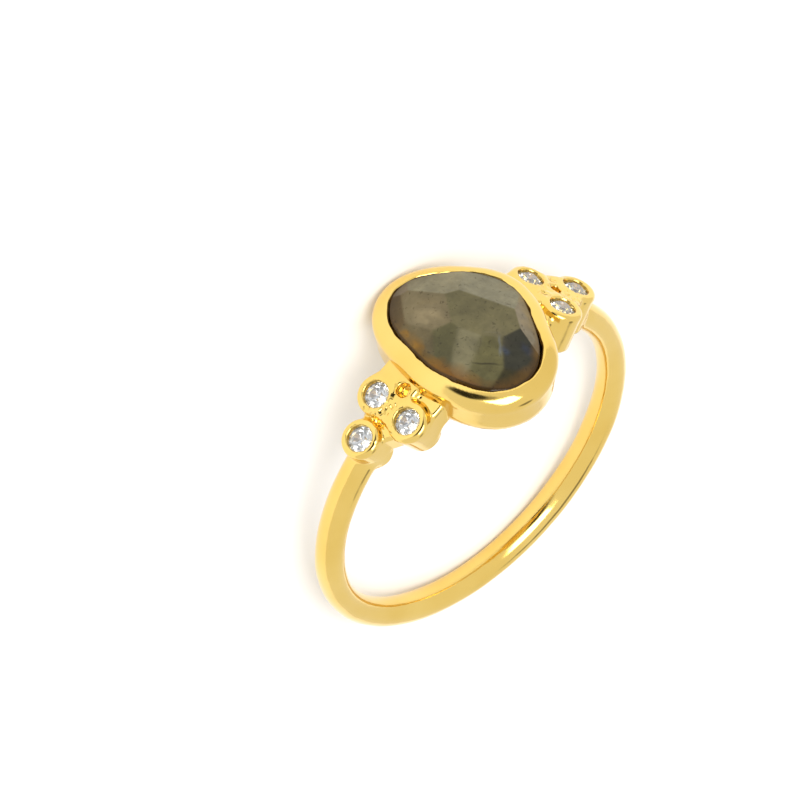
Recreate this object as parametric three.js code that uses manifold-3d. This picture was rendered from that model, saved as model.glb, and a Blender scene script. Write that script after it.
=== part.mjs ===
// Stackable ring: a round-wire band, a free-form setting cup with one large
// faceted stone, and a cluster of three small round stones on each side of it.
//
// Units are millimetres. The ring is drawn in its own frame and then laid down:
//   ring frame: origin at the centre of the finger circle, Y along the finger,
//               Z out through the large stone, X towards the right cluster
//   part frame: +Z up, the ring lying on its side on the plane z = 0, origin
//               under the middle of its box, the large stone facing -Y

import * as THREE from 'three';
import { mergeVertices } from 'three/addons/utils/BufferGeometryUtils.js';
import Module from 'manifold-3d';

// ---- driving sizes ---------------------------------------------------------

const LINE_R = 9.45;          // centre line of the band
const BORE_R = 8.70;          // finger circle, 17.4 mm across
const WIRE_AXIAL = 0.81;      // half width of the wire along the finger
const WIRE_RADIAL = 0.75;     // half height of the wire
const WIRE_FLAT = 0.70;       // the inner side of the wire is a little flattened
const BAND_END = 33;          // the band runs round to this angle from +Z, each side

const BACK_Z = 8.74;          // flat underside of the setting cup
const FLOOR_Z = 9.30;         // floor of the cup
const STONE_GAP = 0.07;       // play between a stone and its seat

const COLLET_H = 2.25;        // height of a small setting
const SEAT_R = 0.80;          // bore of a small setting under its lip
const LIP_R = 0.67;           // opening of a small setting

// Outline of the big opening: radius over the angle from +X, as a short sum of
// waves about the point OUT_C, in the ring's X and Y.
const OUT_C = { x: 0.0, y: -0.25 };
const OUT_R0 = 3.619;
const OUT_WAVES = [
  { k: 1, c: -0.156, s: 0.035 },
  { k: 2, c: -0.540, s: -0.028 },
  { k: 3, c: 0.194, s: 0.095 },
  { k: 4, c: 0.074, s: 0.072 },
  { k: 5, c: -0.026, s: -0.021 },
];

// Section of the setting cup, from the underside up the wall, over the rolled
// rim and down to the floor: how far outside the opening, and at what height.
const CUP = [
  { off: 0.42, z: BACK_Z },
  { off: 0.60, z: 8.84 },
  { off: 0.70, z: 9.10 },
  { off: 0.76, z: 9.60 },
  { off: 0.82, z: 10.10 },
  { off: 0.86, z: 10.40 },
  { off: 0.85, z: 10.62 },
  { off: 0.78, z: 10.82 },
  { off: 0.66, z: 10.98 },
  { off: 0.50, z: 11.11 },
  { off: 0.32, z: 11.20 },
  { off: 0.15, z: 11.24 },
  { off: 0.04, z: 11.15 },
  { off: 0.02, z: 10.95 },
  { off: 0.26, z: 10.76 },
  { off: 0.26, z: 10.20 },
  { off: 0.10, z: FLOOR_Z },
];

// The large stone: girdle just under the rim, then flat cuts over the top.
const STONE = { girdleOff: 0.26 - STONE_GAP, neckOff: 0.02 - STONE_GAP, base: 9.38, top: 12.45 };
// Each cut is a plane through a point, leaning `tilt` degrees from level
// towards the compass angle `az` in X and Y.
const CUTS = [
  { name: 'table', az: -26.4, tilt: 1.49, x: 0.65, y: -0.53, z: 11.913 },
  { name: 'back_right', az: 21.7, tilt: 18.9, x: 1.88, y: 0.68, z: 11.686 },
  { name: 'back', az: 64.6, tilt: 19.07, x: 0.22, y: 2.59, z: 11.674 },
  { name: 'back_left', az: 148.2, tilt: 11.29, x: -1.34, y: 1.77, z: 11.712 },
  { name: 'left_edge', az: 147.0, tilt: 22.09, x: -2.12, y: 2.93, z: 11.395 },
  { name: 'left_corner', az: 101.6, tilt: 27.3, x: -1.16, y: 3.68, z: 11.437 },
  { name: 'front_left', az: 172.3, tilt: 17.92, x: -2.53, y: 0.69, z: 11.525 },
  { name: 'low_left', az: -176.1, tilt: 29.56, x: -2.98, y: -0.81, z: 11.353 },
  { name: 'front_a', az: -171.0, tilt: 12.62, x: -1.92, y: -0.54, z: 11.698 },
  { name: 'front_b', az: -148.7, tilt: 11.15, x: -1.66, y: -1.58, z: 11.677 },
  { name: 'front_c', az: -130.4, tilt: 11.84, x: -1.19, y: -2.75, z: 11.591 },
  { name: 'front_right', az: -93.0, tilt: 14.44, x: 0.31, y: -3.38, z: 11.589 },
  { name: 'tip', az: -104.3, tilt: 18.19, x: -0.86, y: -4.08, z: 11.344 },
  { name: 'right', az: -28.3, tilt: 35.85, x: 1.88, y: -2.60, z: 11.517 },
];

// Small settings: middle of the top, lean of the axis about the finger's
// direction, and the radius at the top and at the foot.
const COLLETS = [
  { name: 'left_back', x: -5.40, y: 0.80, z: 9.45, lean: -30, top: 1.08, foot: 0.97 },
  { name: 'left_front', x: -5.38, y: -1.52, z: 9.45, lean: -30, top: 1.10, foot: 0.97 },
  { name: 'left_outer', x: -7.20, y: 0.00, z: 8.20, lean: -30, top: 1.06, foot: 0.97 },
  { name: 'right_back', x: 5.22, y: 1.18, z: 9.60, lean: 30, top: 1.04, foot: 1.08 },
  { name: 'right_front', x: 5.20, y: -1.28, z: 9.60, lean: 30, top: 1.10, foot: 1.10 },
  { name: 'right_outer', x: 7.17, y: 0.00, z: 8.25, lean: 30, top: 1.10, foot: 1.10 },
];

// A small round stone: radius and height under the top of its setting.
const BRILLIANT = [
  { name: 'table', r: 0.43, z: 0.00, turn: 0 },
  { name: 'star', r: 0.60, z: -0.12, turn: 0.5 },
  { name: 'girdle_top', r: 0.735, z: -0.27, turn: 0 },
  { name: 'girdle_low', r: 0.735, z: -0.31, turn: 0 },
  { name: 'pavilion', r: 0.36, z: -0.66, turn: 0.5 },
];
const CULET_Z = -0.96;

// Solid metal between neighbouring settings: a wall from one axis to the other,
// its width, and how deep its top and its foot lie under the settings' tops.
const WEBS = [
  { from: 'left_back', to: 'left_front', width: 1.70, top: 0.08, foot: 2.05 },
  { from: 'left_back', to: 'left_outer', width: 0.90, top: 0.45, foot: 2.00 },
  { from: 'left_front', to: 'left_outer', width: 0.90, top: 0.55, foot: 2.00 },
  { from: 'right_back', to: 'right_front', width: 1.50, top: 0.08, foot: 2.05 },
  { from: 'right_back', to: 'right_outer', width: 1.30, top: 0.10, foot: 2.05 },
  { from: 'right_front', to: 'right_outer', width: 1.30, top: 0.12, foot: 2.05 },
];
// The same between a setting and the cup's wall: `reach` runs level with the
// setting's top towards the cup, and `shift` moves it along the finger.
const CUP_WEBS = [
  { from: 'left_back', shift: -0.45, reach: 1.75, width: 2.50, top: 0.12, foot: 1.60 },
  { from: 'left_front', shift: 0.00, reach: 1.75, width: 1.70, top: 0.42, foot: 1.90 },
  { from: 'right_back', shift: -0.50, reach: 1.80, width: 2.60, top: 0.12, foot: 1.68 },
  { from: 'right_front', shift: 0.00, reach: 1.85, width: 1.00, top: 0.45, foot: 1.35 },
];
// Small blind pockets left between the settings, square to their tops.
const POCKETS = [
  { by: 'left_back', x: -4.33, y: -0.22, z: 9.74, r: 0.36, deep: 0.44 },
  { by: 'right_back', x: 5.86, y: 0.10, z: 8.98, r: 0.26, deep: 0.32 },
];

// How the ring lies: on the far end of the setting cup and the foot of the band.
const LAY = { tilt: -11.66, roll: -1.763, yaw: 0.0, x: -0.0000, y: 1.1446, z: 2.7357 };

// Steps round each form.
const STEPS = { band: 52, wire: 14, cup: 64, collet: 24, stone: 36 };

// ---- helpers -----------------------------------------------------------------

const RAD = Math.PI / 180;
const wasm = await Module();
wasm.setup();

function toSolid(geometry) {
  const g = geometry.clone();
  for (const key of Object.keys(g.attributes)) if (key !== 'position') g.deleteAttribute(key);
  const merged = mergeVertices(g, 1e-4);
  const solid = new wasm.Manifold(new wasm.Mesh({
    numProp: 3,
    vertProperties: new Float32Array(merged.attributes.position.array),
    triVerts: new Uint32Array(merged.index.array),
  }));
  return solid;
}

function toGeometry(solid) {
  const mesh = solid.getMesh();
  const g = new THREE.BufferGeometry();
  g.setAttribute('position', new THREE.BufferAttribute(new Float32Array(mesh.vertProperties), 3));
  g.setIndex(new THREE.BufferAttribute(new Uint32Array(mesh.triVerts), 1));
  g.computeVertexNormals();
  return g;
}

// A closed form through rings of equal length, with its first and last rings
// closed by fans.
function loft(rings) {
  const n = rings[0].length;
  const pos = [];
  for (const ring of rings) for (const p of ring) pos.push(p.x, p.y, p.z);
  const index = [];
  for (let i = 0; i + 1 < rings.length; i++) {
    for (let j = 0; j < n; j++) {
      const a = i * n + j, b = i * n + (j + 1) % n;
      index.push(a, b, b + n, a, b + n, a + n);
    }
  }
  const fan = (start, flip) => {
    const c = pos.length / 3;
    let x = 0, y = 0, z = 0;
    for (let j = 0; j < n; j++) { x += pos[3 * (start + j)]; y += pos[3 * (start + j) + 1]; z += pos[3 * (start + j) + 2]; }
    pos.push(x / n, y / n, z / n);
    for (let j = 0; j < n; j++) {
      const a = start + j, b = start + (j + 1) % n;
      if (flip) index.push(c, b, a); else index.push(c, a, b);
    }
  };
  fan(0, true);
  fan((rings.length - 1) * n, false);
  const g = new THREE.BufferGeometry();
  g.setAttribute('position', new THREE.Float32BufferAttribute(pos, 3));
  g.setIndex(index);
  return g;
}

// The outline of the big opening, moved outwards by `off`, at height z.
function outline(off, z, n) {
  const pts = [];
  for (let j = 0; j < n; j++) {
    const t = 2 * Math.PI * j / n;
    let r = OUT_R0, dr = 0;
    for (const w of OUT_WAVES) {
      r += w.c * Math.cos(w.k * t) + w.s * Math.sin(w.k * t);
      dr += w.k * (w.s * Math.cos(w.k * t) - w.c * Math.sin(w.k * t));
    }
    const tx = dr * Math.cos(t) - r * Math.sin(t), ty = dr * Math.sin(t) + r * Math.cos(t);
    const len = Math.hypot(tx, ty);
    pts.push(new THREE.Vector3(OUT_C.x + r * Math.cos(t) + off * ty / len, OUT_C.y + r * Math.sin(t) - off * tx / len, z));
  }
  return pts;
}

// ---- the metal ----------------------------------------------------------------

// The band's centre line: round the finger circle from one cluster, under the
// finger, to the other.
class BandLine extends THREE.Curve {
  getPoint(t, target = new THREE.Vector3()) {
    const a = (BAND_END + t * (360 - 2 * BAND_END)) * RAD;
    return target.set(LINE_R * Math.sin(a), 0, LINE_R * Math.cos(a));
  }
}

function wireSection() {
  const pts = [];
  for (let j = 0; j < STEPS.wire; j++) {
    const t = 2 * Math.PI * j / STEPS.wire;
    // once it is swept, the shape's y runs in towards the finger
    const up = Math.cos(t) > 0 ? WIRE_FLAT : WIRE_RADIAL;
    pts.push(new THREE.Vector2(WIRE_AXIAL * Math.sin(t), up * Math.cos(t)));
  }
  return new THREE.Shape(pts);
}

const band = new THREE.ExtrudeGeometry(wireSection(), { steps: STEPS.band, extrudePath: new BandLine(), bevelEnabled: false });

// The rows of CUP up to the top of the rim are the outside; the rest is the hollow.
const RIM_ROWS = 12;
const cup = loft(CUP.slice(0, RIM_ROWS).map((row) => outline(row.off, row.z, STEPS.cup)));
const cupRoom = loft([
  ...CUP.slice(RIM_ROWS + 1).reverse().map((row) => outline(row.off, row.z, STEPS.cup)),
  outline(CUP[RIM_ROWS].off, 13, STEPS.cup),
]);

function colletPlacement(c) {
  const m = new THREE.Matrix4().makeRotationY(c.lean * RAD);
  m.setPosition(c.x, c.y, c.z);
  return m;
}

// Outside of a small setting, heights measured from its top.
function colletGeometry(c) {
  const p = [
    [0, -COLLET_H], [c.foot - 0.08, -COLLET_H], [c.foot, -COLLET_H + 0.10],
    [c.top, -0.42], [c.top, -0.24], [c.top - 0.08, -0.07], [c.top - 0.20, 0.0], [0, 0],
  ].map(([r, z]) => new THREE.Vector2(r, z));
  const g = new THREE.LatheGeometry(p, STEPS.collet);
  g.rotateX(Math.PI / 2);         // the lathe's axis, Y, becomes Z
  g.applyMatrix4(colletPlacement(c));
  return g;
}

function setting(name) {
  return COLLETS.find((k) => k.name === name);
}

// A wall of metal square to the settings' tops, from a point along a direction.
function wall(from, start, along, length, width, top, foot) {
  const up = new THREE.Vector3(0, 0, 1).applyEuler(new THREE.Euler(0, from.lean * RAD, 0));
  const x = along.clone().addScaledVector(up, -along.dot(up)).normalize();
  const y = new THREE.Vector3().crossVectors(up, x);
  const g = new THREE.BoxGeometry(length, width, foot - top);
  g.translate(length / 2, 0, -(foot + top) / 2);
  g.applyMatrix4(new THREE.Matrix4().makeBasis(x, y, up));
  g.translate(start.x, start.y, start.z);
  return g;
}

function web(w) {
  const a = setting(w.from), b = setting(w.to);
  const span = new THREE.Vector3(b.x - a.x, b.y - a.y, b.z - a.z);
  return wall(a, a, span, span.length(), w.width, w.top, w.foot);
}

function cupWeb(w) {
  const a = setting(w.from);
  const level = new THREE.Vector3(-Math.sign(a.x), 0, 0).applyEuler(new THREE.Euler(0, a.lean * RAD, 0));
  return wall(a, { x: a.x, y: a.y + w.shift, z: a.z }, level, w.reach, w.width, w.top, w.foot);
}

function pocket(k) {
  const g = new THREE.CylinderGeometry(k.r, k.r, k.deep + 0.8, 14);
  g.rotateX(Math.PI / 2);
  g.translate(0, 0, 0.8 - (k.deep + 0.8) / 2);
  g.rotateY(setting(k.by).lean * RAD);
  g.translate(k.x, k.y, k.z);
  return g;
}

// The hollow of a small setting, which its stone sits in.
function seatRoom(c) {
  const p = [[0, -1.10], [SEAT_R, -0.40], [SEAT_R, -0.22], [LIP_R, -0.12], [LIP_R, 0.8], [0, 0.8]]
    .map(([r, z]) => new THREE.Vector2(r, z));
  const g = new THREE.LatheGeometry(p, STEPS.collet);
  g.rotateX(Math.PI / 2);
  g.applyMatrix4(colletPlacement(c));
  return g;
}

// The finger's room, which trims the feet of the small settings.
const finger = new THREE.CylinderGeometry(BORE_R, BORE_R, 14, 120);
// The settings' feet are filed off clear of the cup's flat back.
const backRoom = loft([outline(CUP[0].off + 0.02, BACK_Z - 3, STEPS.cup), outline(CUP[0].off + 0.02, BACK_Z, STEPS.cup)]);

let clusters = null;
const addTo = (sum, g) => (sum ? sum.add(toSolid(g)) : toSolid(g));
for (const c of COLLETS) clusters = addTo(clusters, colletGeometry(c));
for (const w of WEBS) clusters = addTo(clusters, web(w));
for (const w of CUP_WEBS) clusters = addTo(clusters, cupWeb(w));
clusters = clusters.subtract(toSolid(finger)).subtract(toSolid(backRoom));
for (const k of POCKETS) clusters = clusters.subtract(toSolid(pocket(k)));

let metal = toSolid(cup).add(clusters).add(toSolid(band)).subtract(toSolid(cupRoom));
for (const c of COLLETS) metal = metal.subtract(toSolid(seatRoom(c)));

// ---- the stones -----------------------------------------------------------------

function centreStone() {
  const n = STEPS.stone;
  let stone = toSolid(loft([
    outline(-0.55, STONE.base, n),
    outline(-0.05, STONE.base + 0.22, n),
    outline(STONE.girdleOff, 10.22, n),
    outline(STONE.girdleOff, 10.62, n),
    outline(STONE.neckOff, 10.86, n),
    outline(STONE.neckOff, STONE.top, n),
  ]));
  for (const cut of CUTS) {
    const box = new THREE.BoxGeometry(30, 30, 10);
    box.translate(0, 0, 5);
    box.rotateY(cut.tilt * RAD);
    box.rotateZ(cut.az * RAD);
    box.translate(cut.x, cut.y, cut.z);
    stone = stone.subtract(toSolid(box));
  }
  return stone;
}

function brilliant(c) {
  const rings = BRILLIANT.map((row) => {
    const pts = [];
    for (let j = 0; j < 8; j++) {
      const t = 2 * Math.PI * (j + row.turn) / 8;
      pts.push(new THREE.Vector3(row.r * Math.cos(t), row.r * Math.sin(t), row.z));
    }
    return pts;
  }).reverse();
  // the culet closes the lowest ring to a point
  const g = loft([rings[0].map((p) => new THREE.Vector3(p.x * 0.05, p.y * 0.05, CULET_Z)), ...rings]);
  g.applyMatrix4(colletPlacement(c));
  return g;
}

// ---- the assembly ---------------------------------------------------------------

const gold = new THREE.MeshStandardMaterial({ color: 0xe8c069, roughness: 0.18, metalness: 1.0 });
const greyStone = new THREE.MeshStandardMaterial({ color: 0x6f6a58, roughness: 0.08, metalness: 0.0 });
const clearStone = () => new THREE.MeshStandardMaterial({ color: 0xe9edf0, roughness: 0.03, metalness: 0.0 });

function named(name, geometry, material) {
  const mesh = new THREE.Mesh(geometry, material);
  mesh.name = name;
  return mesh;
}

const ring = new THREE.Group();
ring.add(named('ring_metal', toGeometry(metal), gold));
ring.add(named('centre_stone', toGeometry(centreStone()), greyStone));
for (const c of COLLETS) ring.add(named(`${c.name}_stone`, brilliant(c), clearStone()));

// Ring frame to lying frame: the stone's Z turns to the front, the camera-side
// end of the finger's axis turns up.
const turned = new THREE.Group();
turned.matrixAutoUpdate = true;
turned.quaternion.setFromRotationMatrix(new THREE.Matrix4().makeBasis(
  new THREE.Vector3(-1, 0, 0), new THREE.Vector3(0, 0, -1), new THREE.Vector3(0, -1, 0)));
turned.add(ring);

const lying = new THREE.Group();
lying.rotation.set(LAY.tilt * RAD, LAY.roll * RAD, LAY.yaw * RAD, 'XYZ');
lying.position.set(LAY.x, LAY.y, LAY.z);
lying.add(turned);

const part = new THREE.Group();
part.add(lying);

export default part;
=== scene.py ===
import bpy, bmesh, math
import numpy as np
from mathutils import Matrix, Vector


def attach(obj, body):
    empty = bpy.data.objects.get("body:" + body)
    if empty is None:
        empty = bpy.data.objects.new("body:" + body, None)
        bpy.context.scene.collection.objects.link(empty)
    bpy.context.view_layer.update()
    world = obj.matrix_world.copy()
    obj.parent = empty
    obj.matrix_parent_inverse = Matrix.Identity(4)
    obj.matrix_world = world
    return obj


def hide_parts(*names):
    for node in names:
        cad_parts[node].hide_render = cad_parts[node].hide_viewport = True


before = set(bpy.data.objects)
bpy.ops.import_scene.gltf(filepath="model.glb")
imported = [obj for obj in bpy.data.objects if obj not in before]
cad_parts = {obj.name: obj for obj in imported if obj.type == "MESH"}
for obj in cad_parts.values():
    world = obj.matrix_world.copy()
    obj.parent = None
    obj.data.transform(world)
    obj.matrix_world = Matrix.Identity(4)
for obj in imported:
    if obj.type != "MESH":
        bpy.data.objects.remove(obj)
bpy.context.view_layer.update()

MM = 0.001
RAD = math.pi / 180

# ---------------------------------------------------------------------------
# Sizes, in millimetres in the ring's own frame: Y along the finger, Z out
# through the large stone, X towards the right cluster.
# ---------------------------------------------------------------------------
LINE_R, BORE_R = 9.45, 8.70
WIRE_AXIAL, WIRE_RADIAL, WIRE_FLAT = 0.81, 0.75, 0.70
BAND_END = 33 * RAD
BACK_Z, FLOOR_Z = 8.74, 9.30
COLLET_H = 2.25
OUT_C = (0.0, -0.25)
OUT_R0 = 3.619
OUT_WAVES = ((1, -0.156, 0.035), (2, -0.540, -0.028), (3, 0.194, 0.095), (4, 0.074, 0.072), (5, -0.026, -0.021))
CUP = ((0.42, BACK_Z), (0.60, 8.84), (0.70, 9.10), (0.76, 9.60), (0.82, 10.10), (0.86, 10.40), (0.85, 10.62), (0.78, 10.82), (0.66, 10.98), (0.50, 11.11), (0.32, 11.20), (0.15, 11.24), (0.04, 11.15), (0.02, 10.95), (0.26, 10.76), (0.26, 10.20), (0.10, FLOOR_Z))
# name, x, y, z of the top's middle, lean, radius at top and foot
COLLETS = (
    ("left_back", -5.40, 0.80, 9.45, -30, 1.08, 0.97),
    ("left_front", -5.38, -1.52, 9.45, -30, 1.10, 0.97),
    ("left_outer", -7.20, 0.00, 8.20, -30, 1.06, 0.97),
    ("right_back", 5.22, 1.18, 9.60, 30, 1.04, 1.08),
    ("right_front", 5.20, -1.28, 9.60, 30, 1.10, 1.10),
    ("right_outer", 7.17, 0.00, 8.25, 30, 1.10, 1.10),
)
# metal between neighbours: from, to, width, depth of its top and foot
WEBS = (("left_back", "left_front", 1.70, 0.06, 2.05), ("left_back", "left_outer", 0.90, 0.42, 2.00),
        ("left_front", "left_outer", 0.90, 0.52, 2.00), ("right_back", "right_front", 1.50, 0.06, 2.05),
        ("right_back", "right_outer", 1.30, 0.08, 2.05), ("right_front", "right_outer", 1.30, 0.10, 2.05))
# and between a setting and the cup: from, shift, reach, width, depth of top and foot
CUP_WEBS = (("left_back", -0.45, 1.75, 2.50, 0.10, 1.60), ("left_front", 0.0, 1.75, 1.70, 0.40, 1.90),
            ("right_back", -0.50, 1.80, 2.60, 0.10, 1.68), ("right_front", 0.0, 1.85, 1.00, 0.45, 1.35))
# blind pockets: by, centre, radius, depth
POCKETS = (("left_back", (-4.33, -0.22, 9.74), 0.36, 0.42), ("right_back", (5.86, 0.10, 8.98), 0.26, 0.28))

# How the ring lies (the same turn and shift as the CAD model's).
LAY_TILT, LAY_ROLL, LAY_POS = -11.66 * RAD, -1.763 * RAD, (0.0, 1.1446, 2.7357)


def rot(axis, a):
    c, s = math.cos(a), math.sin(a)
    if axis == "X":
        return np.array([[1, 0, 0], [0, c, -s], [0, s, c]])
    if axis == "Y":
        return np.array([[c, 0, s], [0, 1, 0], [-s, 0, c]])
    return np.array([[c, -s, 0], [s, c, 0], [0, 0, 1]])


TURN = np.array([[-1.0, 0, 0], [0, 0, -1.0], [0, -1.0, 0]])
R = rot("X", LAY_TILT) @ rot("Y", LAY_ROLL) @ TURN
T = np.array(LAY_POS)


def to_row(p):
    """Ring frame in mm to the shared frame in metres."""
    return (np.asarray(p, float) @ R.T + T) * MM


# ---------------------------------------------------------------------------
# Camera: the photograph's angle to the ring, without shift.
# ---------------------------------------------------------------------------
CAM = np.array([[0.75785, -0.65097, -0.02664], [0.52565, 0.58568, 0.61662], [-0.38576, -0.48140, 0.78660]])
u, _, vt = np.linalg.svd(CAM)
CAM = u @ vt
cam_pos = to_row(CAM.T @ np.array([-3.6504, 3.1582, 400.0]))
axes = R @ CAM.T            # columns: right, up, back
cam_data = bpy.data.cameras.new("photo_camera")
cam_data.sensor_width = 36.0
cam_data.lens = 36.0 * 400.0 / 40.644
cam_data.clip_start = 0.01
cam_data.clip_end = 10.0
cam = bpy.data.objects.new("photo_camera", cam_data)
mw = Matrix.Identity(4)
for i in range(3):
    for j in range(3):
        mw[i][j] = float(axes[i, j])
    mw[i][3] = float(cam_pos[i])
cam.matrix_world = mw
bpy.context.scene.collection.objects.link(cam)
bpy.context.scene.camera = cam


# ---------------------------------------------------------------------------
# Smooth seeded noise on points
# ---------------------------------------------------------------------------
def noise3(p, scale, seed):
    """Value noise in -1..1, smooth, on points p (n, 3)."""
    rng = np.random.RandomState(seed)
    n = 64
    grid = rng.uniform(-1, 1, (n, n, n)).astype(np.float32)
    q = np.asarray(p, np.float32) / scale + 17.3
    i = np.floor(q).astype(np.int64)
    f = q - i
    f = f * f * f * (f * (f * 6 - 15) + 10)
    out = np.zeros(len(q), np.float32)
    for a in (0, 1):
        wa = f[:, 0] if a else 1 - f[:, 0]
        for b in (0, 1):
            wb = f[:, 1] if b else 1 - f[:, 1]
            for c in (0, 1):
                wc = f[:, 2] if c else 1 - f[:, 2]
                out += wa * wb * wc * grid[(i[:, 0] + a) % n, (i[:, 1] + b) % n, (i[:, 2] + c) % n]
    return out


def ring_noise(t, waves):
    out = np.zeros_like(t)
    for k, amp, ph in waves:
        out += amp * np.sin(k * t + ph)
    return out


# ---------------------------------------------------------------------------
# The metal as a distance field
# ---------------------------------------------------------------------------
def smin(a, b, k):
    h = np.clip(0.5 + 0.5 * (b - a) / k, 0, 1)
    return b * (1 - h) + a * h - k * h * (1 - h)


def smax(a, b, k):
    return -smin(-a, -b, k)


def outline_at(t):
    r = np.full_like(t, OUT_R0)
    dr = np.zeros_like(t)
    for k, c, s in OUT_WAVES:
        r += c * np.cos(k * t) + s * np.sin(k * t)
        dr += k * (s * np.cos(k * t) - c * np.sin(k * t))
    return r, dr


def smooth_profile(rows, sub=6):
    pts = [(-4.5, BACK_Z), (-1.0, BACK_Z)] + [tuple(r) for r in rows] + [(-1.0, FLOOR_Z), (-4.5, FLOOR_Z)]
    p = np.array(pts)
    out = []
    for i in range(1, len(p) - 2):
        p0, p1, p2, p3 = p[i - 1], p[i], p[i + 1], p[i + 2]
        for j in range(sub):
            t = j / sub
            out.append(0.5 * (2 * p1 + (p2 - p0) * t + (2 * p0 - 5 * p1 + 4 * p2 - p3) * t * t + (3 * p1 - p0 - 3 * p2 + p3) * t ** 3))
    out.append(p[-2])
    return np.vstack([p[:1], np.array(out), p[-1:]])


def profile_table(poly, o0, o1, z0, z1, step):
    """Signed distance of a section, negative inside, on a grid."""
    os_, zs = np.arange(o0, o1 + step, step), np.arange(z0, z1 + step, step)
    O, Z = np.meshgrid(os_, zs, indexing="ij")
    d = np.full(O.shape, 1e9)
    inside = np.zeros(O.shape, bool)
    n = len(poly)
    for i in range(n):
        a, b = poly[i], poly[(i + 1) % n]
        ex, ez = b - a
        L = ex * ex + ez * ez
        if L < 1e-12:
            continue
        t = np.clip(((O - a[0]) * ex + (Z - a[1]) * ez) / L, 0, 1)
        d = np.minimum(d, np.hypot(O - a[0] - t * ex, Z - a[1] - t * ez))
        if abs(ez) > 1e-12:
            cross = ((a[1] > Z) != (b[1] > Z)) & (O < (ex) * (Z - a[1]) / ez + a[0])
            inside ^= cross
    return np.where(inside, -d, d), os_[0], zs[0], step


CUP_TABLE = profile_table(smooth_profile(CUP), -3.0, 2.6, 7.6, 12.6, 0.02)


def table_at(tab, o, z):
    g, o0, z0, st = tab
    a = np.clip((o - o0) / st, 0, g.shape[0] - 1.001)
    b = np.clip((z - z0) / st, 0, g.shape[1] - 1.001)
    i, j = a.astype(int), b.astype(int)
    fa, fb = a - i, b - j
    return (g[i, j] * (1 - fa) * (1 - fb) + g[i + 1, j] * fa * (1 - fb) + g[i, j + 1] * (1 - fa) * fb + g[i + 1, j + 1] * fa * fb)


RAG = ((2, 0.022, 0.2), (3, 0.020, 2.4), (7, 0.016, 0.4), (11, 0.016, 2.1), (17, 0.016, 4.0), (26, 0.013, 1.2), (37, 0.008, 5.1))
RIM_Z = ((3, 0.020, 1.0), (5, 0.016, 3.3), (8, 0.010, 0.2), (13, 0.008, 2.0))
RIM_O = ((2, 0.015, 0.7), (4, 0.018, 2.6), (6, 0.012, 5.0), (9, 0.010, 1.4))


def d_cup(p):
    x, y, z = p[:, 0] - OUT_C[0], p[:, 1] - OUT_C[1], p[:, 2]
    t = np.arctan2(y, x)
    r, dr = outline_at(t)
    rho = np.hypot(x, y)
    o = (rho - r) * r / np.sqrt(r * r + dr * dr)
    lip = np.clip((0.35 - o) / 0.3, 0, 1) * np.clip((z - 10.8) / 0.25, 0, 1)
    high = np.clip((z - 9.6) / 1.4, 0, 1)
    o = o + ring_noise(t, RAG) * lip + ring_noise(t, RIM_O) * high
    z = z + ring_noise(t, RIM_Z) * high
    return table_at(CUP_TABLE, o, z)


def d_band(p):
    x, y, z = p[:, 0], p[:, 1], p[:, 2]
    ang = np.arctan2(np.abs(x), z)
    side = np.arctan2(x, z)
    q = np.hypot(x, z) - LINE_R
    thick = 1.0 + ring_noise(side, ((2, 0.012, 0.3), (3, 0.012, 1.7), (7, 0.008, 0.5), (12, 0.005, 2.2)))
    a = np.where(q > 0, WIRE_RADIAL, WIRE_FLAT) * thick
    b = WIRE_AXIAL * thick
    k0 = np.sqrt((q / a) ** 2 + (y / b) ** 2)
    k1 = np.sqrt((q / a ** 2) ** 2 + (y / b ** 2) ** 2)
    d = np.where(k1 > 1e-6, k0 * (k0 - 1) / np.maximum(k1, 1e-6), -a)
    return np.maximum(d, (BAND_END - ang) * LINE_R)


def collet_frame(c):
    a = c[4] * RAD
    n = np.array([math.sin(a), 0, math.cos(a)])
    return np.array(c[1:4]), n


def setting(name):
    return next(k for k in COLLETS if k[0] == name)


def d_collet(p, c):
    o, n = collet_frame(c)
    v = p - o
    h = v @ n
    rad = v - h[:, None] * n
    rho = np.linalg.norm(rad, axis=1)
    rr = c[6] + (c[5] - c[6]) * np.clip((h + COLLET_H) / (COLLET_H - 0.3), 0, 1)
    wall = rho - rr
    return smax(smax(wall, h, 0.30), -COLLET_H - h, 0.14)


def d_seat(p, c):
    """The hollow in a small setting, negative in the hollow."""
    o, n = collet_frame(c)
    v = p - o
    h = v @ n
    rho = np.linalg.norm(v - h[:, None] * n, axis=1)
    r = np.where(h > -0.36, 0.675, 0.675 * np.clip((h + 1.05) / 0.69, 0, 1))
    flare = np.clip((h + 0.10) / 0.12, 0, 1) * 0.05
    return np.maximum(rho - r - flare, -1.05 - h)


def d_box(p, centre, ex, ey, ez, half, rnd):
    v = p - centre
    q = np.stack([np.abs(v @ ex) - half[0] + rnd, np.abs(v @ ey) - half[1] + rnd, np.abs(v @ ez) - half[2] + rnd], axis=1)
    return np.linalg.norm(np.maximum(q, 0), axis=1) + np.minimum(q.max(1), 0) - rnd


def d_wall(p, c, along, length, width, top, foot):
    o, n = collet_frame(c)
    ex = along - (along @ n) * n
    ex /= np.linalg.norm(ex)
    return d_box(p, o + ex * length / 2 - n * (top + foot) / 2, ex, np.cross(n, ex), n,
                 (length / 2, width / 2, (foot - top) / 2), 0.22)


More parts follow.
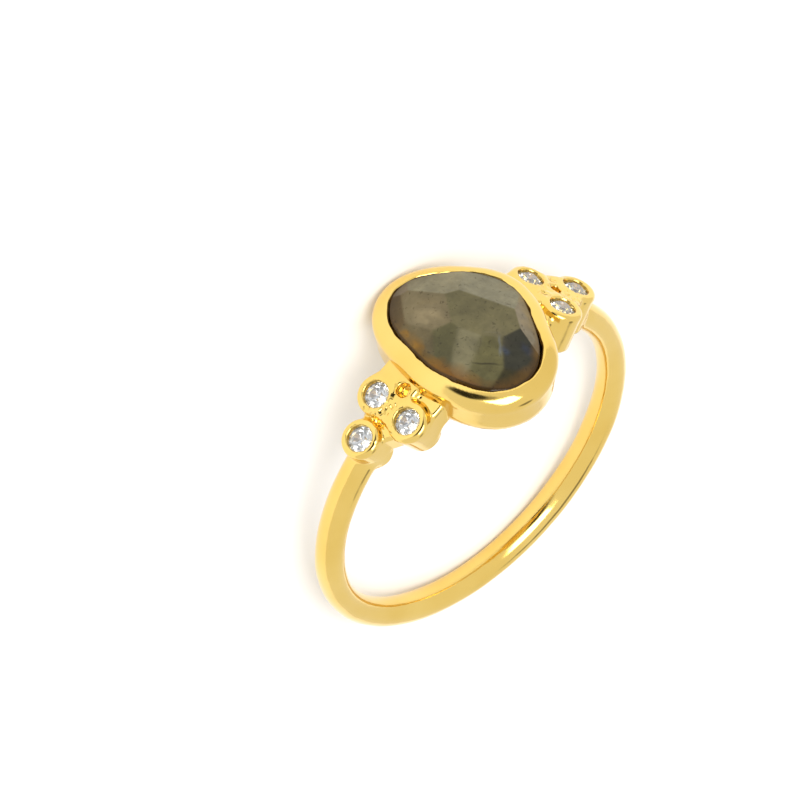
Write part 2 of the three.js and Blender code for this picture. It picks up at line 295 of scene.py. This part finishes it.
def metal(p):
    p = np.asarray(p, float)
    d = np.full(len(p), 9.0)
    band = d_band(p)
    # the clusters, only worked out near them
    near = (p[:, 2] > 5.2)
    q = p[near]
    if len(q):
        cl = np.full(len(q), 9.0)
        for c in COLLETS:
            cl = smin(cl, d_collet(q, c), 0.16)
        for a, b, width, top, foot in WEBS:
            ca, cb = setting(a), setting(b)
            along = np.array(cb[1:4]) - np.array(ca[1:4])
            cl = smin(cl, d_wall(q, ca, along, np.linalg.norm(along), width, top, foot), 0.16)
        for a, shift, reach, width, top, foot in CUP_WEBS:
            c = setting(a)
            c = c[:2] + (c[2] + shift,) + c[3:]
            e = np.array([-math.copysign(1, c[1]) * math.cos(30 * RAD), 0, 0.5])
            cl = smin(cl, d_wall(q, c, e, reach, width, top, foot), 0.30)
        cl = smax(cl, BORE_R - np.hypot(q[:, 0], q[:, 2]), 0.12)
        dd = smin(band[near], cl, 0.22)
        up = q[:, 2] > 8.0
        if up.any():
            cup = d_cup(q[up])
            dd[up] = smin(dd[up], cup, 0.14)
            # the hollow of the cup stays clear of solder
            xx, yy = q[up][:, 0] - OUT_C[0], q[up][:, 1] - OUT_C[1]
            tt = np.arctan2(yy, xx)
            r, dr = outline_at(tt)
            o = (np.hypot(xx, yy) - r) * r / np.sqrt(r * r + dr * dr)
            inner = (o < 0.2) & (q[up][:, 2] > FLOOR_Z - 0.2)
            sub = dd[up]
            sub[inner] = cup[inner]
            dd[up] = sub
        # the solder is pitted between the settings, and smooth elsewhere
        seam = np.zeros(len(q))
        for a, b, width, top, foot in WEBS:
            ca, cb = np.array(setting(a)[1:4]), np.array(setting(b)[1:4])
            mid = (ca + cb) / 2
            seam = np.maximum(seam, np.clip(1.2 - np.linalg.norm(q - mid, axis=1) / 0.75, 0, 1))
        pits = np.clip(noise3(q, 0.16, 5) * 0.7 + noise3(q, 0.45, 6) * 0.6 - 0.12, 0, 1)
        dd = dd + pits * 0.11 * seam
        for by, centre, r, deep in POCKETS:
            o, n = collet_frame(setting(by))
            v = q - np.array(centre)
            h = v @ n
            rho = np.linalg.norm(v - h[:, None] * n, axis=1)
            dd = smax(dd, -np.maximum(rho - r - 0.04 * noise3(q, 0.4, 8), -deep - h), 0.14)
        for c in COLLETS:
            dd = smax(dd, -d_seat(q, c), 0.05)
        band[near] = dd
    d = band
    d = d + 0.008 * noise3(p, 1.6, 11) + 0.004 * noise3(p, 0.6, 12)
    return d


def surface_nets(field, lo, hi, step):
    nx, ny, nz = [int(math.ceil((b - a) / step)) + 1 for a, b in zip(lo, hi)]
    xs, ys, zs = lo[0] + step * np.arange(nx), lo[1] + step * np.arange(ny), lo[2] + step * np.arange(nz)
    # coarse pass: only blocks near the surface are worked out finely
    B = 8
    val = np.full((nx, ny, nz), 5.0, np.float32)
    cx, cy, cz = [np.arange(0, n, B) for n in (nx, ny, nz)]
    GX, GY, GZ = np.meshgrid(cx, cy, cz, indexing="ij")
    cen = np.c_[xs[0] + step * (GX.ravel() + B / 2), ys[0] + step * (GY.ravel() + B / 2), zs[0] + step * (GZ.ravel() + B / 2)]
    dv = field(cen)
    half = step * B / 2 * 1.732 * 1.35 + 0.1
    far = np.abs(dv) > half
    for (i, j, k), v, f in zip(np.c_[GX.ravel(), GY.ravel(), GZ.ravel()], dv, far):
        if f:
            val[i:i + B, j:j + B, k:k + B] = v
    sel = np.where(~far)[0]
    idx = []
    ar = np.arange(B)
    ox, oy, oz = np.meshgrid(ar, ar, ar, indexing="ij")
    off = np.c_[ox.ravel(), oy.ravel(), oz.ravel()]
    base = np.c_[GX.ravel(), GY.ravel(), GZ.ravel()][sel]
    cells = (base[:, None, :] + off[None]).reshape(-1, 3)
    ok = (cells[:, 0] < nx) & (cells[:, 1] < ny) & (cells[:, 2] < nz)
    cells = cells[ok]
    for s in range(0, len(cells), 400000):
        c = cells[s:s + 400000]
        pts = np.c_[xs[c[:, 0]], ys[c[:, 1]], zs[c[:, 2]]]
        val[c[:, 0], c[:, 1], c[:, 2]] = field(pts)
    ins = val < 0
    # cells with a sign change
    corner = [(a, b, c) for a in (0, 1) for b in (0, 1) for c in (0, 1)]
    cnt = np.zeros((nx - 1, ny - 1, nz - 1), np.int8)
    for a, b, c in corner:
        cnt += ins[a:nx - 1 + a, b:ny - 1 + b, c:nz - 1 + c]
    act = (cnt > 0) & (cnt < 8)
    ids = np.full(act.shape, -1, np.int64)
    ci = np.argwhere(act)
    ids[act] = np.arange(len(ci))
    # vertex: mean of the edge crossings
    acc = np.zeros((len(ci), 3))
    num = np.zeros(len(ci))
    for ax in range(3):
        for s in (0, 1):
            for t in (0, 1):
                o0 = [0, 0, 0]
                oth = [q for q in range(3) if q != ax]
                o0[oth[0]], o0[oth[1]] = s, t
                o1 = list(o0)
                o1[ax] = 1
                a = ci + o0
                b = ci + o1
                va = val[a[:, 0], a[:, 1], a[:, 2]]
                vb = val[b[:, 0], b[:, 1], b[:, 2]]
                m = (va < 0) != (vb < 0)
                tt = np.where(m, va / np.where(m, va - vb, 1), 0)
                acc[m] += (a + (b - a) * tt[:, None])[m]
                num[m] += 1
    vert = acc / num[:, None] * step + np.array([xs[0], ys[0], zs[0]])
    quads = []
    for ax in range(3):
        o = [q for q in range(3) if q != ax]
        sl0 = [slice(None)] * 3
        sl1 = [slice(None)] * 3
        sl0[ax] = slice(0, -1)
        sl1[ax] = slice(1, None)
        a, b = ins[tuple(sl0)], ins[tuple(sl1)]
        e = np.argwhere(a != b)
        e = e[(e[:, o[0]] > 0) & (e[:, o[1]] > 0) & (e[:, o[0]] < val.shape[o[0]] - 1) & (e[:, o[1]] < val.shape[o[1]] - 1)]
        inside_first = ins[e[:, 0], e[:, 1], e[:, 2]]
        u1 = np.zeros(3, int); u1[o[0]] = 1
        u2 = np.zeros(3, int); u2[o[1]] = 1
        q = [e - u1 - u2, e - u2, e, e - u1]
        f = np.stack([ids[k[:, 0], k[:, 1], k[:, 2]] for k in q], axis=1)
        flip = inside_first if ax != 1 else ~inside_first
        f[~flip] = f[~flip][:, ::-1]
        quads.append(f)
    quads = np.vstack(quads)
    return vert, quads


def gradient(field, p, e=0.01):
    g = np.zeros_like(p)
    for i in range(3):
        d = np.zeros(3)
        d[i] = e
        g[:, i] = (field(p + d) - field(p - d)) / (2 * e)
    return g


def mesh_object(name, verts_row, faces, smooth=True):
    me = bpy.data.meshes.new(name)
    me.from_pydata([tuple(v) for v in verts_row], [], [tuple(int(i) for i in f) for f in faces])
    me.update()
    if smooth:
        me.polygons.foreach_set("use_smooth", [True] * len(me.polygons))
    ob = bpy.data.objects.new(name, me)
    bpy.context.scene.collection.objects.link(ob)
    return ob


STEP = 0.09
verts, quads = surface_nets(metal, (-10.6, -5.8, -10.6), (10.6, 5.3, 11.7), STEP)
for _ in range(3):
    d = metal(verts)
    g = gradient(metal, verts)
    gl = np.maximum((g * g).sum(1), 0.2)
    move = -(d / gl)[:, None] * g
    ml = np.linalg.norm(move, axis=1)
    cap = STEP * 0.5
    move *= np.minimum(1, cap / np.maximum(ml, 1e-9))[:, None]
    verts = verts + move
g = gradient(metal, verts, 0.012)
nrm = g / np.maximum(np.linalg.norm(g, axis=1), 1e-9)[:, None]
# keep the winding outward
a, b, c = verts[quads[:, 0]], verts[quads[:, 1]], verts[quads[:, 2]]
fn = np.cross(b - a, c - a)
wrong = (fn * nrm[quads[:, 0]]).sum(1) < 0
print("metal", len(verts), "verts", len(quads), "quads", "against the field", int(wrong.sum()))
if wrong.mean() > 0.5:
    quads = quads[:, ::-1]
gold_ob = mesh_object("gold_setting_and_band", to_row(verts), quads)
gold_ob.data.normals_split_custom_set_from_vertices([tuple(v) for v in (nrm @ R.T)])


# ---------------------------------------------------------------------------
# Stones: closed prisms with flat cuts
# ---------------------------------------------------------------------------
def cut_solid(rings, cuts, bevel=0.0, tint=None):
    """A closed solid through rings of points (ring frame, mm), cut by planes
    (point, outward normal). Each cut's faces carry its number."""
    bm = bmesh.new()
    layer = bm.faces.layers.int.new("cut")
    rows = [[bm.verts.new(p) for p in ring] for ring in rings]
    n = len(rows[0])
    for i in range(len(rows) - 1):
        for j in range(n):
            k = (j + 1) % n
            bm.faces.new((rows[i][j], rows[i][k], rows[i + 1][k], rows[i + 1][j]))
    bm.faces.new(list(reversed(rows[0])))
    bm.faces.new(rows[-1])
    for f in bm.faces:
        f[layer] = 0
    for num, (co, no) in enumerate(cuts, 1):
        res = bmesh.ops.bisect_plane(bm, geom=bm.verts[:] + bm.edges[:] + bm.faces[:], dist=1e-6,
                                     plane_co=Vector(co), plane_no=Vector(no), clear_outer=True)
        edges = [e for e in res["geom_cut"] if isinstance(e, bmesh.types.BMEdge)]
        edges = [e for e in edges if e.is_valid and e.is_boundary]
        if len(edges) > 2:
            out = bmesh.ops.edgeloop_fill(bm, edges=edges)
            for f in out["faces"]:
                f[layer] = num
    bmesh.ops.recalc_face_normals(bm, faces=bm.faces[:])
    return bm, layer


def outline_ring(off, z, n):
    t = 2 * np.pi * np.arange(n) / n
    r, dr = outline_at(t)
    tx, ty = dr * np.cos(t) - r * np.sin(t), dr * np.sin(t) + r * np.cos(t)
    L = np.hypot(tx, ty)
    return [(OUT_C[0] + r[j] * math.cos(t[j]) + off * ty[j] / L[j], OUT_C[1] + r[j] * math.sin(t[j]) - off * tx[j] / L[j], z) for j in range(n)]


def lean_normal(az, tilt):
    a, b = az * RAD, tilt * RAD
    return (math.sin(b) * math.cos(a), math.sin(b) * math.sin(a), math.cos(b))


# name, compass angle, tilt, point on the cut
CUTS = (
    ("table", -26.4, 1.49, (0.65, -0.53, 11.913)),
    ("back_right", 21.7, 18.9, (1.88, 0.68, 11.686)),
    ("back", 64.6, 19.07, (0.22, 2.59, 11.674)),
    ("back_left", 148.2, 11.29, (-1.34, 1.77, 11.712)),
    ("left_edge", 147.0, 22.09, (-2.12, 2.93, 11.395)),
    ("left_corner", 101.6, 27.3, (-1.16, 3.68, 11.437)),
    ("front_left", 172.3, 17.92, (-2.53, 0.69, 11.525)),
    ("low_left", -176.1, 29.56, (-2.98, -0.81, 11.353)),
    ("front_a", -171.0, 12.62, (-1.92, -0.54, 11.698)),
    ("front_b", -148.7, 11.15, (-1.66, -1.58, 11.677)),
    ("front_c", -130.4, 11.84, (-1.19, -2.75, 11.591)),
    ("front_right", -93.0, 14.44, (0.31, -3.38, 11.589)),
    ("tip", -104.3, 18.19, (-0.86, -4.08, 11.344)),
    ("right", -28.3, 35.85, (1.88, -2.60, 11.517)),
)
# colour of each cut (linear RGB): the stone's own tone plus painted reflection and painted shade, each facet lighter
# or darker by how it faces the light
FACET_COLOUR_AND_REFLECTION = {
    "table": (0.122, 0.106, 0.048), "back_right": (0.200, 0.182, 0.112), "back": (0.215, 0.190, 0.110),
    "back_left": (0.150, 0.120, 0.062), "left_edge": (0.085, 0.058, 0.022), "left_corner": (0.180, 0.140, 0.080),
    "front_left": (0.105, 0.082, 0.038), "low_left": (0.115, 0.075, 0.022), "front_a": (0.078, 0.070, 0.028),
    "front_b": (0.150, 0.134, 0.072), "front_c": (0.096, 0.086, 0.034), "front_right": (0.030, 0.029, 0.019),
    "tip": (0.030, 0.025, 0.008), "right": (0.190, 0.155, 0.095),
}
# warm brown where the stone thins towards its edge: compass angle, reach, strength, tint
EDGES = ((120, 40, 0.80, (0.050, 0.030, 0.012)), (175, 40, 0.85, (0.170, 0.085, 0.008)), (215, 30, 0.85, (0.150, 0.060, 0.003)),
         (255, 26, 0.70, (0.100, 0.045, 0.006)), (290, 26, 0.80, (0.100, 0.050, 0.008)), (335, 40, 0.85, (0.200, 0.130, 0.030)))
# flashes and flaws: the lighter and bluish patches are painted reflection and sheen, the rest are the stone's own
# flaws and colour; middle, half length, half width, direction, strength, tint
REFLECTIONS_AND_FLAWS = (
    ((-1.37, 1.53), 0.70, 0.55, -38, 0.60, (0.27, 0.215, 0.118)),
    ((-0.81, 2.06), 0.63, 0.18, -45, 0.25, (0.2, 0.15, 0.07)),
    ((0.04, -2.44), 0.52, 0.07, -126, 0.55, (0.13, 0.15, 0.17)),
    ((0.05, -2.80), 0.27, 0.14, -99, 0.45, (0.04, 0.06, 0.11)),
    ((0.97, -3.36), 0.38, 0.18, -95, 0.50, (0.026, 0.034, 0.06)),
    ((-1.14, -2.74), 0.69, 0.04, -46, 0.80, (0.01, 0.009, 0.004)),
    ((0.77, -2.88), 0.64, 0.06, -40, 0.45, (0.03, 0.026, 0.02)),
    ((-2.77, 1.47), 0.27, 0.16, -90, 0.70, (0.23, 0.11, 0.006)),
    ((-2.79, 0.47), 0.41, 0.12, -89, 0.55, (0.2, 0.095, 0.006)),
    ((-3.04, -1.30), 0.55, 0.14, -85, 0.60, (0.16, 0.065, 0.002)),
    ((-2.37, -3.23), 0.34, 0.10, -70, 0.50, (0.12, 0.055, 0.02)),
    ((0.21, -1.61), 0.42, 0.05, -45, 0.35, (0.15, 0.14, 0.085)),
    ((-0.65, -1.72), 0.50, 0.05, -143, 0.35, (0.06, 0.05, 0.02)),
    ((-2.01, -0.31), 0.04, 0.05, -92, 0.60, (0.01, 0.01, 0.006)),
    ((-1.47, -0.97), 0.04, 0.05, -90, 0.70, (0.012, 0.01, 0.006)),
    ((0.39, -1.85), 0.88, 0.30, -106, 0.25, (0.12, 0.1, 0.062)),
)

N_OUT = 420
N_IN = 84
PLANES = [(np.array(c[3]), np.array(lean_normal(c[1], c[2]))) for c in CUTS]


def crown(x, y, soft):
    """Height and slope of the cut top, its edges eased over `soft` millimetres."""
    h = np.stack([p[2] - (n[0] * (x - p[0]) + n[1] * (y - p[1])) / n[2] for p, n in PLANES])
    low = h.min(0)
    w = np.exp(-(h - low) / soft)
    w /= w.sum(0)
    return h, (w * h).sum(0), w


tt = 2 * np.pi * np.arange(N_OUT) / N_OUT
r_out, dr_out = outline_at(tt)
L_out = np.sqrt(r_out ** 2 + dr_out ** 2)
px, py, pz, pn = [], [], [], []
for off, z, up in ((-0.55, 9.38, -0.8), (-0.05, 9.60, -0.5), (0.20, 10.22, 0.0), (0.20, 10.66, 0.4), (0.00, 10.88, 0.4)):
    tx, ty = dr_out * np.cos(tt) - r_out * np.sin(tt), dr_out * np.sin(tt) + r_out * np.cos(tt)
    nx, ny = ty / L_out, -tx / L_out
    px.append(OUT_C[0] + r_out * np.cos(tt) + off * nx)
    py.append(OUT_C[1] + r_out * np.sin(tt) + off * ny)
    pz.append(np.full(N_OUT, z))
    k = math.sqrt(1 - up * up)
    pn.append(np.c_[nx * k, ny * k, np.full(N_OUT, up)])
side_rings = len(px)
tint_rows = [np.tile((0.050, 0.024, 0.004), (N_OUT, 1)) for _ in range(side_rings)]
for s in np.append(1 - np.arange(N_IN) / N_IN, []):
    rr = (r_out - 0.02) * s
    x, y = OUT_C[0] + rr * np.cos(tt), OUT_C[1] + rr * np.sin(tt)
    h, z, w = crown(x, y, 0.003)
    nn = (w[:, :, None] * np.array([n / n[2] for _, n in PLANES])[:, None, :]).sum(0)
    nn /= np.linalg.norm(nn, axis=1)[:, None]
    wob = noise3(np.c_[x, y, z], 0.5, 21)
    wt = np.exp(-np.maximum(h - h.min(0) + 0.004 * wob, 0) / 0.005)
    wt /= wt.sum(0)
    # each point takes the colour of its facet, painted reflection and shade included
    tint = (wt[:, :, None] * np.array([FACET_COLOUR_AND_REFLECTION[c[0]] for c in CUTS])[:, None, :]).sum(0)
    depth = (r_out - rr) * r_out / L_out
    pos = np.c_[x, y, z]
    n1, n2, n3 = noise3(pos, 0.9, 22), noise3(pos, 0.32, 23), noise3(pos, 0.14, 24)
    for az, reach, strength, col in EDGES:
        da = np.abs((tt / RAD - az + 180) % 360 - 180)
        f = np.clip(1.25 - da / reach, 0, 1) * np.clip(1.1 - depth / (0.55 + 0.35 * n1 + 0.15 * n2), 0, 1) * strength
        tint = tint * (1 - f[:, None]) + np.array(col) * f[:, None]
    # painted flashes of reflected light and sheen, and the stone's own flaws
    for (mx_, my_), ha, hb, az, strength, col in REFLECTIONS_AND_FLAWS:
        c, s_ = math.cos(az * RAD), math.sin(az * RAD)
        u_, v_ = (x - mx_) * c + (y - my_) * s_, -(x - mx_) * s_ + (y - my_) * c
        v_ = v_ + 0.10 * n2 * min(1.0, hb * 8)
        f = np.exp(-(u_ / ha) ** 4 - (v_ / hb) ** 2) * strength
        tint = tint * (1 - f[:, None]) + np.array(col) * f[:, None]
    tint = tint * (0.90 + 0.10 * n1 + 0.10 * n2 + 0.06 * n3)[:, None]
    line = np.clip(1.4 - depth / 0.06, 0, 1) * 0.8
    tint = tint * (1 - line[:, None]) + np.array((0.040, 0.020, 0.003)) * line[:, None]
    px.append(x); py.append(y); pz.append(z); pn.append(nn); tint_rows.append(tint)
n_rings = len(px)
sv = np.c_[np.concatenate(px), np.concatenate(py), np.concatenate(pz)]
sn = np.vstack(pn)
st = np.clip(np.vstack(tint_rows), 0.002, 1)
ring_i = np.arange(N_OUT)
ring_k = (ring_i + 1) % N_OUT
faces = [np.c_[ring_i, ring_k, ring_k + N_OUT, ring_i + N_OUT] + q * N_OUT for q in range(n_rings - 1)]
faces = [tuple(f) for f in np.vstack(faces)]
last = (n_rings - 1) * N_OUT
hub = crown(np.array([OUT_C[0]]), np.array([OUT_C[1]]), 0.006)[1][0]
sv = np.vstack([sv, [[OUT_C[0], OUT_C[1], hub]]])
sn = np.vstack([sn, sn[last:last + N_OUT].mean(0)[None]])
st = np.vstack([st, st[last:last + N_OUT].mean(0)[None]])
faces += [(last + a, last + b, len(sv) - 1) for a, b in zip(ring_i, ring_k)]
faces.append(tuple(reversed([int(a) for a in ring_i])))
# the shared frame is a turn of the ring frame, so the winding stays as it is
stone_ob = mesh_object("labradorite", to_row(sv), faces)
stone_ob.data.normals_split_custom_set_from_vertices([tuple(v) for v in (sn @ R.T)])
col = stone_ob.data.color_attributes.new("tint", "FLOAT_COLOR", "POINT")
col.data.foreach_set("color", np.c_[st, np.ones(len(st))].astype(np.float32).ravel())


def brilliant(name, c):
    """A round brilliant: table, stars, mains and girdle facets above, mains below."""
    r = 0.672
    n = 48
    ring = lambda rad, z: [(rad * math.cos(2 * math.pi * j / n), rad * math.sin(2 * math.pi * j / n), z) for j in range(n)]
    cuts = [((0, 0, 0.02), (0, 0, 1))]
    for j in range(8):
        az = 45 * j
        cuts.append(((r * math.cos(az * RAD), r * math.sin(az * RAD), -0.225), lean_normal(az, 34)))
    for j in range(8):
        az = 45 * j + 22.5
        cuts.append(((0.40 * math.cos(az * RAD), 0.40 * math.sin(az * RAD), 0.010), lean_normal(az, 22)))
    for j in range(16):
        az = 22.5 * j + 11.25
        cuts.append(((r * math.cos(az * RAD), r * math.sin(az * RAD), -0.235), lean_normal(az, 41)))
    for j in range(8):
        az = 45 * j
        m = lean_normal(az, 41)
        cuts.append(((r * math.cos(az * RAD), r * math.sin(az * RAD), -0.285), (m[0], m[1], -m[2])))
    for j in range(16):
        az = 22.5 * j + 11.25
        m = lean_normal(az, 42.6)
        cuts.append(((r * math.cos(az * RAD), r * math.sin(az * RAD), -0.275), (m[0], m[1], -m[2])))
    bm, lay = cut_solid([ring(r * 0.999, -1.1), ring(r, 0.3)], cuts)
    o, nn = collet_frame(c)
    e1 = np.array([nn[2], 0, -nn[0]])
    e2 = np.cross(nn, e1)
    for v in bm.verts:
        p = o + v.co.x * e1 + v.co.y * e2 + v.co.z * nn
        v.co = Vector(tuple(to_row(p)))
    bmesh.ops.recalc_face_normals(bm, faces=bm.faces[:])
    me = bpy.data.meshes.new(name)
    bm.to_mesh(me)
    bm.free()
    ob = bpy.data.objects.new(name, me)
    bpy.context.scene.collection.objects.link(ob)
    return ob


brilliants = [(c[0], brilliant("brilliant_" + c[0], c)) for c in COLLETS]


# ---------------------------------------------------------------------------
# Materials
# ---------------------------------------------------------------------------
def new_material(name):
    m = bpy.data.materials.new(name)
    m.use_nodes = True
    nt = m.node_tree
    bsdf = nt.nodes["Principled BSDF"]
    return m, nt, bsdf


def node(nt, kind, **kw):
    n = nt.nodes.new(kind)
    for k, v in kw.items():
        if k.startswith("_"):
            setattr(n, k[1:], v)
        else:
            n.inputs[k].default_value = v
    return n


def gold_material():
    m, nt, b = new_material("polished_gold_plate")
    L = nt.links.new
    b.inputs["Metallic"].default_value = 1.0
    tc = node(nt, "ShaderNodeTexCoord")
    # slow drift of the plating's colour
    n1 = node(nt, "ShaderNodeTexNoise", Scale=260.0, Detail=3.0, Roughness=0.5)
    L(tc.outputs["Object"], n1.inputs["Vector"])
    ramp = node(nt, "ShaderNodeValToRGB")
    ramp.color_ramp.elements[0].position = 0.30
    ramp.color_ramp.elements[0].color = (0.78, 0.53, 0.125, 1)
    ramp.color_ramp.elements[1].position = 0.72
    ramp.color_ramp.elements[1].color = (0.84, 0.60, 0.175, 1)
    L(n1.outputs["Fac"], ramp.inputs["Fac"])
    L(ramp.outputs["Color"], b.inputs["Base Color"])
    # polish: mostly bright, with duller patches
    n2 = node(nt, "ShaderNodeTexNoise", Scale=900.0, Detail=4.0, Roughness=0.6)
    L(tc.outputs["Object"], n2.inputs["Vector"])
    mr = node(nt, "ShaderNodeMapRange")
    mr.inputs["From Min"].default_value = 0.35
    mr.inputs["From Max"].default_value = 0.75
    mr.inputs["To Min"].default_value = 0.07
    mr.inputs["To Max"].default_value = 0.20
    L(n2.outputs["Fac"], mr.inputs["Value"])
    L(mr.outputs["Result"], b.inputs["Roughness"])
    # fine dents and polishing marks
    n3 = node(nt, "ShaderNodeTexNoise", Scale=2600.0, Detail=3.0, Roughness=0.55)
    L(tc.outputs["Object"], n3.inputs["Vector"])
    n4 = node(nt, "ShaderNodeTexNoise", Scale=650.0, Detail=2.0, Roughness=0.5)
    L(tc.outputs["Object"], n4.inputs["Vector"])
    b1 = node(nt, "ShaderNodeBump", Strength=0.05, Distance=0.00004)
    L(n3.outputs["Fac"], b1.inputs["Height"])
    b2 = node(nt, "ShaderNodeBump", Strength=0.25, Distance=0.00005)
    L(n4.outputs["Fac"], b2.inputs["Height"])
    L(b1.outputs["Normal"], b2.inputs["Normal"])
    L(b2.outputs["Normal"], b.inputs["Normal"])
    b.inputs["Coat Weight"].default_value = 0.2
    b.inputs["Coat Roughness"].default_value = 0.10
    return m


def stone_material():
    m, nt, b = new_material("labradorite")
    L = nt.links.new
    tc = node(nt, "ShaderNodeTexCoord")
    at = node(nt, "ShaderNodeAttribute", _attribute_name="tint")
    cloud = node(nt, "ShaderNodeTexNoise", Scale=520.0, Detail=5.0, Roughness=0.62, Distortion=0.8)
    L(tc.outputs["Object"], cloud.inputs["Vector"])
    ramp = node(nt, "ShaderNodeValToRGB")
    ramp.color_ramp.elements[0].position = 0.32
    ramp.color_ramp.elements[0].color = (0.80, 0.79, 0.76, 1)
    ramp.color_ramp.elements[1].position = 0.70
    ramp.color_ramp.elements[1].color = (1.18, 1.16, 1.12, 1)
    L(cloud.outputs["Fac"], ramp.inputs["Fac"])
    mul = node(nt, "ShaderNodeMix", _data_type="RGBA", _blend_type="MULTIPLY")
    mul.inputs["Factor"].default_value = 1.0
    L(at.outputs["Color"], mul.inputs[6])
    L(ramp.outputs["Color"], mul.inputs[7])
    # small dark needles and specks
    spk = node(nt, "ShaderNodeTexNoise", Scale=5200.0, Detail=2.0, Roughness=0.5, Distortion=0.6)
    L(tc.outputs["Object"], spk.inputs["Vector"])
    sr = node(nt, "ShaderNodeValToRGB")
    sr.color_ramp.elements[0].position = 0.27
    sr.color_ramp.elements[0].color = (0.48, 0.46, 0.42, 1)
    sr.color_ramp.elements[1].position = 0.38
    sr.color_ramp.elements[1].color = (1, 1, 1, 1)
    L(spk.outputs["Fac"], sr.inputs["Fac"])
    mul2 = node(nt, "ShaderNodeMix", _data_type="RGBA", _blend_type="MULTIPLY")
    mul2.inputs["Factor"].default_value = 0.75
    L(mul.outputs[2], mul2.inputs[6])
    L(sr.outputs["Color"], mul2.inputs[7])
    L(mul2.outputs[2], b.inputs["Base Color"])
    b.inputs["Roughness"].default_value = 0.16
    b.inputs["IOR"].default_value = 1.50
    b.inputs["Specular IOR Level"].default_value = 0.22
    bump = node(nt, "ShaderNodeBump", Strength=0.12, Distance=0.00003)
    L(cloud.outputs["Fac"], bump.inputs["Height"])
    L(bump.outputs["Normal"], b.inputs["Normal"])
    return m


def clear_material():
    m, nt, b = new_material("clear_brilliant")
    L = nt.links.new
    tc = node(nt, "ShaderNodeTexCoord")
    n = node(nt, "ShaderNodeTexNoise", Scale=700.0, Detail=2.0)
    L(tc.outputs["Object"], n.inputs["Vector"])
    ramp = node(nt, "ShaderNodeValToRGB")
    ramp.color_ramp.elements[0].color = (0.74, 0.78, 0.82, 1)
    ramp.color_ramp.elements[1].color = (0.90, 0.92, 0.94, 1)
    L(n.outputs["Fac"], ramp.inputs["Fac"])
    L(ramp.outputs["Color"], b.inputs["Base Color"])
    b.inputs["Roughness"].default_value = 0.03
    b.inputs["IOR"].default_value = 1.95
    b.inputs["Transmission Weight"].default_value = 0.86
    return m


GOLD, STONE, CLEAR = gold_material(), stone_material(), clear_material()
gold_ob.data.materials.append(GOLD)
stone_ob.data.materials.append(STONE)
for _, ob in brilliants:
    ob.data.materials.append(CLEAR)

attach(gold_ob, "root")
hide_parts("ring_metal")
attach(stone_ob, "root")
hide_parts("centre_stone")
for name, ob in brilliants:
    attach(ob, "root")
    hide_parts(name + "_stone")

# ---------------------------------------------------------------------------
# Floor and light
# ---------------------------------------------------------------------------
bm = bmesh.new()
bmesh.ops.create_grid(bm, x_segments=8, y_segments=8, size=2.0)
me = bpy.data.meshes.new("floor")
bm.to_mesh(me)
bm.free()
floor = bpy.data.objects.new("floor", me)
bpy.context.scene.collection.objects.link(floor)
m, nt, b = new_material("pale_floor")
tc = node(nt, "ShaderNodeTexCoord")
n = node(nt, "ShaderNodeTexNoise", Scale=40.0, Detail=2.0)
nt.links.new(tc.outputs["Object"], n.inputs["Vector"])
ramp = node(nt, "ShaderNodeValToRGB")
ramp.color_ramp.elements[0].color = (0.94, 0.94, 0.94, 1)
ramp.color_ramp.elements[1].color = (0.95, 0.95, 0.95, 1)
nt.links.new(n.outputs["Fac"], ramp.inputs["Fac"])
nt.links.new(ramp.outputs["Color"], b.inputs["Base Color"])
b.inputs["Roughness"].default_value = 0.9
b.inputs["Specular IOR Level"].default_value = 0.1
me.materials.append(m)

world = bpy.data.worlds.new("studio")
bpy.context.scene.world = world
world.use_nodes = True
wn = world.node_tree
bg = wn.nodes["Background"]
bg.inputs["Strength"].default_value = 1.0
WL = wn.links.new
wtc = node(wn, "ShaderNodeTexCoord")
# dark cards standing in the white studio: angle from the front, height, half angle, softness, how dark
CARDS = ((26, 14, 12.0, 10.0, 0.03), (-165, 52, 6.0, 8.0, 0.30))
level = None
for az, el, half, soft, dark in CARDS:
    v = (math.cos(el * RAD) * math.sin(az * RAD), -math.cos(el * RAD) * math.cos(az * RAD), math.sin(el * RAD))
    dot = node(wn, "ShaderNodeVectorMath", _operation="DOT_PRODUCT")
    dot.inputs[1].default_value = tuple(float(q) for q in v)
    WL(wtc.outputs["Generated"], dot.inputs[0])
    mr = node(wn, "ShaderNodeMapRange", _interpolation_type="SMOOTHSTEP")
    mr.inputs["From Min"].default_value = math.cos((half + soft) * RAD)
    mr.inputs["From Max"].default_value = math.cos(half * RAD)
    mr.inputs["To Min"].default_value = 1.0
    mr.inputs["To Max"].default_value = dark
    WL(dot.outputs["Value"], mr.inputs["Value"])
    if level is None:
        level = mr.outputs["Result"]
    else:
        mu = node(wn, "ShaderNodeMath", _operation="MULTIPLY")
        WL(level, mu.inputs[0])
        WL(mr.outputs["Result"], mu.inputs[1])
        level = mu.outputs["Value"]
# the camera's own view past the floor is plain white
lp = node(wn, "ShaderNodeLightPath")
mx = node(wn, "ShaderNodeMix", _data_type="FLOAT")
WL(lp.outputs["Is Camera Ray"], mx.inputs[0])
WL(level, mx.inputs[2])
mx.inputs[3].default_value = 1.0
WL(mx.outputs[0], bg.inputs["Color"])


def area(name, pos, size, power, color=(1, 1, 1), aim=(0, 0, 0.005)):
    d = bpy.data.lights.new(name, "AREA")
    d.shape = "RECTANGLE"
    d.size, d.size_y = size
    d.energy = power
    d.color = color
    ob = bpy.data.objects.new(name, d)
    ob.location = pos
    v = Vector(aim) - Vector(pos)
    ob.rotation_euler = v.to_track_quat("-Z", "Y").to_euler()
    bpy.context.scene.collection.objects.link(ob)
    return ob


area("key", (0.10, -0.25, 0.35), (0.25, 0.25), 1.2)

sc = bpy.context.scene
sc.view_settings.view_transform = "Standard"
sc.view_settings.exposure = 0.0
